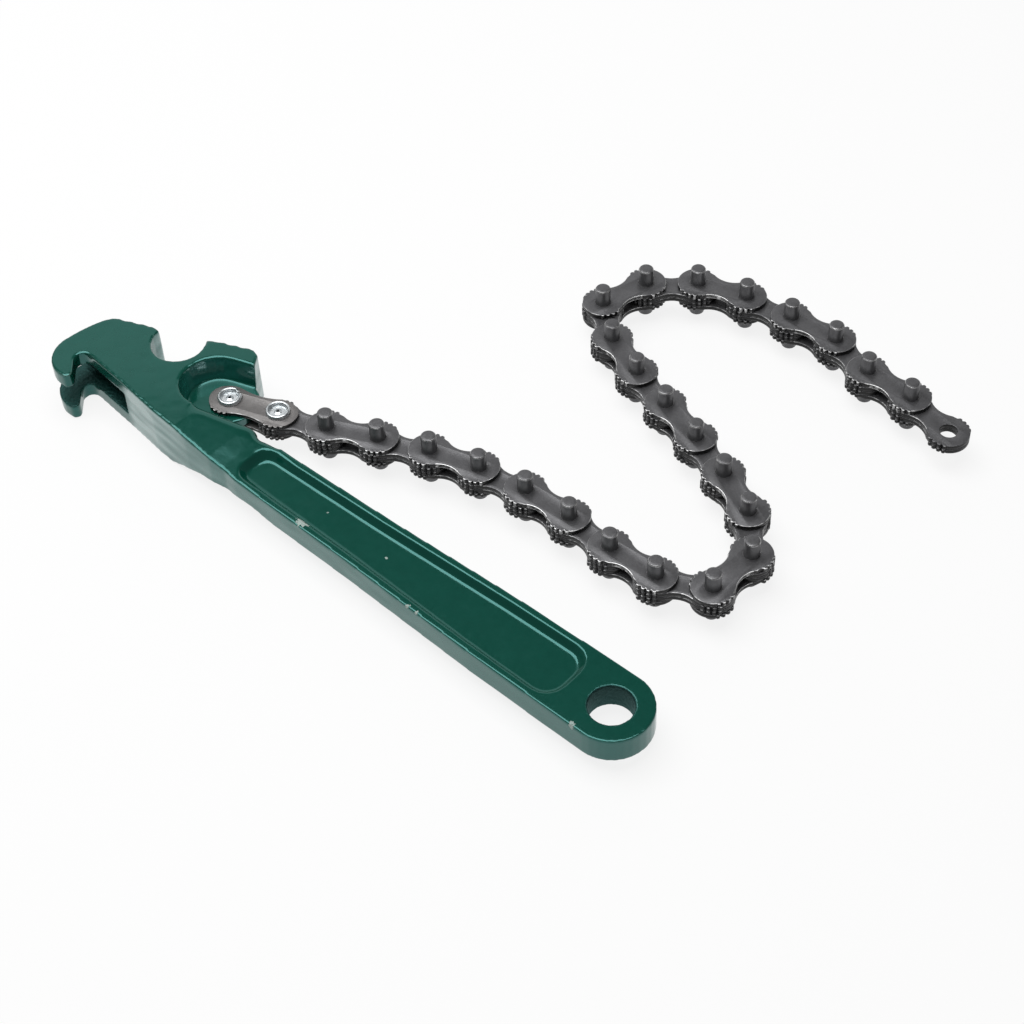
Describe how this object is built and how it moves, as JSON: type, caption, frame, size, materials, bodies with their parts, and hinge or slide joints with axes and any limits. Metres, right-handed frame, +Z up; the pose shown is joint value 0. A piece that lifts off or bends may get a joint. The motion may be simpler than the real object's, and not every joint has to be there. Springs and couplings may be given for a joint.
{
  "type": "chain wrench",
  "caption": "Chain wrench: a cast handle with toothed jaw pads and a forked claw, and a riveted chain of toothed links that wraps a pipe and hooks back on its own pins.",
  "frame": {"origin": "point on the flat underside of the head, on the centre line of the grip, between the claw slot and the chain's pocket", "axes": "+X along the grip from the head to the hanging hole, +Y towards the jaw and the chain, +Z up, along the hinge axes"},
  "size_m": [0.2246, 0.1695, 0.0176],
  "materials": {
    "green_enamel": "glossy baked enamel over a cast handle",
    "anchor_steel": "plain satin steel",
    "chain_steel": "dark oiled steel",
    "zinc": "bright zinc plate"
  },
  "bodies": {
    "handle": {"handle": "green_enamel"},
    "link_01": {"link_01_top_plate": "anchor_steel", "link_01_bottom_plate": "anchor_steel", "rivet_1": "zinc", "rivet_2": "zinc"},
    "link_02": {"link_02_upper_plate": "chain_steel", "link_02_lower_plate": "chain_steel"},
    "link_03": {"link_03_top_plate": "chain_steel", "link_03_pinned_plate": "chain_steel"},
    "link_04": {"link_04_upper_plate": "chain_steel", "link_04_lower_plate": "chain_steel"},
    "link_05": {"link_05_top_plate": "chain_steel", "link_05_pinned_plate": "chain_steel"},
    "link_06": {"link_06_upper_plate": "chain_steel", "link_06_lower_plate": "chain_steel"},
    "link_07": {"link_07_top_plate": "chain_steel", "link_07_pinned_plate": "chain_steel"},
    "link_08": {"link_08_upper_plate": "chain_steel", "link_08_lower_plate": "chain_steel"},
    "link_09": {"link_09_top_plate": "chain_steel", "link_09_pinned_plate": "chain_steel"},
    "link_10": {"link_10_upper_plate": "chain_steel", "link_10_lower_plate": "chain_steel"},
    "link_11": {"link_11_top_plate": "chain_steel", "link_11_pinned_plate": "chain_steel"},
    "link_12": {"link_12_upper_plate": "chain_steel", "link_12_lower_plate": "chain_steel"},
    "link_13": {"link_13_top_plate": "chain_steel", "link_13_pinned_plate": "chain_steel"},
    "link_14": {"link_14_upper_plate": "chain_steel", "link_14_lower_plate": "chain_steel"},
    "link_15": {"link_15_top_plate": "chain_steel", "link_15_pinned_plate": "chain_steel"},
    "link_16": {"link_16_upper_plate": "chain_steel", "link_16_lower_plate": "chain_steel"},
    "link_17": {"link_17_top_plate": "chain_steel", "link_17_pinned_plate": "chain_steel"},
    "link_18": {"link_18_upper_plate": "chain_steel", "link_18_lower_plate": "chain_steel"},
    "link_19": {"link_19_top_plate": "chain_steel", "link_19_pinned_plate": "chain_steel"},
    "link_20": {"link_20_upper_plate": "chain_steel", "link_20_lower_plate": "chain_steel"},
    "link_21": {"link_21_top_plate": "chain_steel", "link_21_pinned_plate": "chain_steel"},
    "link_22": {"link_22_upper_plate": "chain_steel", "link_22_lower_plate": "chain_steel"},
    "link_23": {"link_23_top_plate": "chain_steel", "link_23_pinned_plate": "chain_steel"},
    "link_24": {"link_24_upper_plate": "chain_steel", "link_24_lower_plate": "chain_steel"},
    "link_25": {"link_25_top_plate": "chain_steel", "link_25_pinned_plate": "chain_steel"},
    "link_26": {"link_26_upper_plate": "chain_steel", "link_26_lower_plate": "chain_steel"}
  },
  "joints": [
    {"name": "hinge_01", "type": "hinge", "parent": "handle", "child": "link_01", "pos_m": [0.015, 0.0141, 0.0088], "axis": [0, 0, 1], "range_deg": [-9, 20]},
    {"name": "hinge_02", "type": "hinge", "parent": "link_01", "child": "link_02", "pos_m": [0.03001, 0.01927, 0.0088], "axis": [0, 0, -1], "range_deg": [-50, 10]},
    {"name": "hinge_03", "type": "hinge", "parent": "link_02", "child": "link_03", "pos_m": [0.04511, 0.02417, 0.0088], "axis": [0, 0, 1], "range_deg": [-11, 65]},
    {"name": "hinge_04", "type": "hinge", "parent": "link_03", "child": "link_04", "pos_m": [0.05961, 0.03063, 0.0088], "axis": [0, 0, -1], "range_deg": [-75, 13]},
    {"name": "hinge_05", "type": "hinge", "parent": "link_04", "child": "link_05", "pos_m": [0.07433, 0.03658, 0.0088], "axis": [0, 0, 1], "range_deg": [-16, 80]},
    {"name": "hinge_06", "type": "hinge", "parent": "link_05", "child": "link_06", "pos_m": [0.08966, 0.04069, 0.0088], "axis": [0, 0, -1], "range_deg": [-80, 20]},
    {"name": "hinge_07", "type": "hinge", "parent": "link_06", "child": "link_07", "pos_m": [0.10538, 0.0429, 0.0088], "axis": [0, 0, 1], "range_deg": [-25, 70]},
    {"name": "hinge_08", "type": "hinge", "parent": "link_07", "child": "link_08", "pos_m": [0.12126, 0.04317, 0.0088], "axis": [0, 0, -1], "range_deg": [-60, 35]},
    {"name": "hinge_09", "type": "hinge", "parent": "link_08", "child": "link_09", "pos_m": [0.13707, 0.04179, 0.0088], "axis": [0, 0, 1], "range_deg": [-55, 45]},
    {"name": "hinge_10", "type": "hinge", "parent": "link_09", "child": "link_10", "pos_m": [0.15294, 0.04207, 0.0088], "axis": [0, 0, -1], "range_deg": [-40, 95]},
    {"name": "hinge_11", "type": "hinge", "parent": "link_10", "child": "link_11", "pos_m": [0.16745, 0.04852, 0.0088], "axis": [0, 0, 1], "range_deg": [-135, 12]},
    {"name": "hinge_12", "type": "hinge", "parent": "link_11", "child": "link_12", "pos_m": [0.16828, 0.06438, 0.0088], "axis": [0, 0, -1], "range_deg": [-30, 115]},
    {"name": "hinge_13", "type": "hinge", "parent": "link_12", "child": "link_13", "pos_m": [0.15786, 0.07636, 0.0088], "axis": [0, 0, 1], "range_deg": [-95, 35]},
    {"name": "hinge_14", "type": "hinge", "parent": "link_13", "child": "link_14", "pos_m": [0.14372, 0.08357, 0.0088], "axis": [0, 0, -1], "range_deg": [-45, 80]},
    {"name": "hinge_15", "type": "hinge", "parent": "link_14", "child": "link_15", "pos_m": [0.129, 0.08951, 0.0088], "axis": [0, 0, 1], "range_deg": [-75, 60]},
    {"name": "hinge_16", "type": "hinge", "parent": "link_15", "child": "link_16", "pos_m": [0.1139, 0.09442, 0.0088], "axis": [0, 0, -1], "range_deg": [-75, 60]},
    {"name": "hinge_17", "type": "hinge", "parent": "link_16", "child": "link_17", "pos_m": [0.09889, 0.09959, 0.0088], "axis": [0, 0, 1], "range_deg": [-45, 75]},
    {"name": "hinge_18", "type": "hinge", "parent": "link_17", "child": "link_18", "pos_m": [0.08428, 0.10579, 0.0088], "axis": [0, 0, -1], "range_deg": [-90, 35]},
    {"name": "hinge_19", "type": "hinge", "parent": "link_18", "child": "link_19", "pos_m": [0.07212, 0.11599, 0.0088], "axis": [0, 0, 1], "range_deg": [-9, 140]},
    {"name": "hinge_20", "type": "hinge", "parent": "link_19", "child": "link_20", "pos_m": [0.07649, 0.13125, 0.0088], "axis": [0, 0, -1], "range_deg": [-105, 30]},
    {"name": "hinge_21", "type": "hinge", "parent": "link_20", "child": "link_21", "pos_m": [0.08865, 0.14146, 0.0088], "axis": [0, 0, 1], "range_deg": [-30, 95]},
    {"name": "hinge_22", "type": "hinge", "parent": "link_21", "child": "link_22", "pos_m": [0.10383, 0.1461, 0.0088], "axis": [0, 0, -1], "range_deg": [-85, 40]},
    {"name": "hinge_23", "type": "hinge", "parent": "link_22", "child": "link_23", "pos_m": [0.11965, 0.14748, 0.0088], "axis": [0, 0, 1], "range_deg": [-45, 75]},
    {"name": "hinge_24", "type": "hinge", "parent": "link_23", "child": "link_24", "pos_m": [0.13551, 0.14804, 0.0088], "axis": [0, 0, -1], "range_deg": [-95, 55]},
    {"name": "hinge_25", "type": "hinge", "parent": "link_24", "child": "link_25", "pos_m": [0.15061, 0.14313, 0.0088], "axis": [0, 0, 1], "range_deg": [-85, 60]},
    {"name": "hinge_26", "type": "hinge", "parent": "link_25", "child": "link_26", "pos_m": [0.16645, 0.14202, 0.0088], "axis": [0, 0, -1], "range_deg": [-80, 65]}
  ]
}
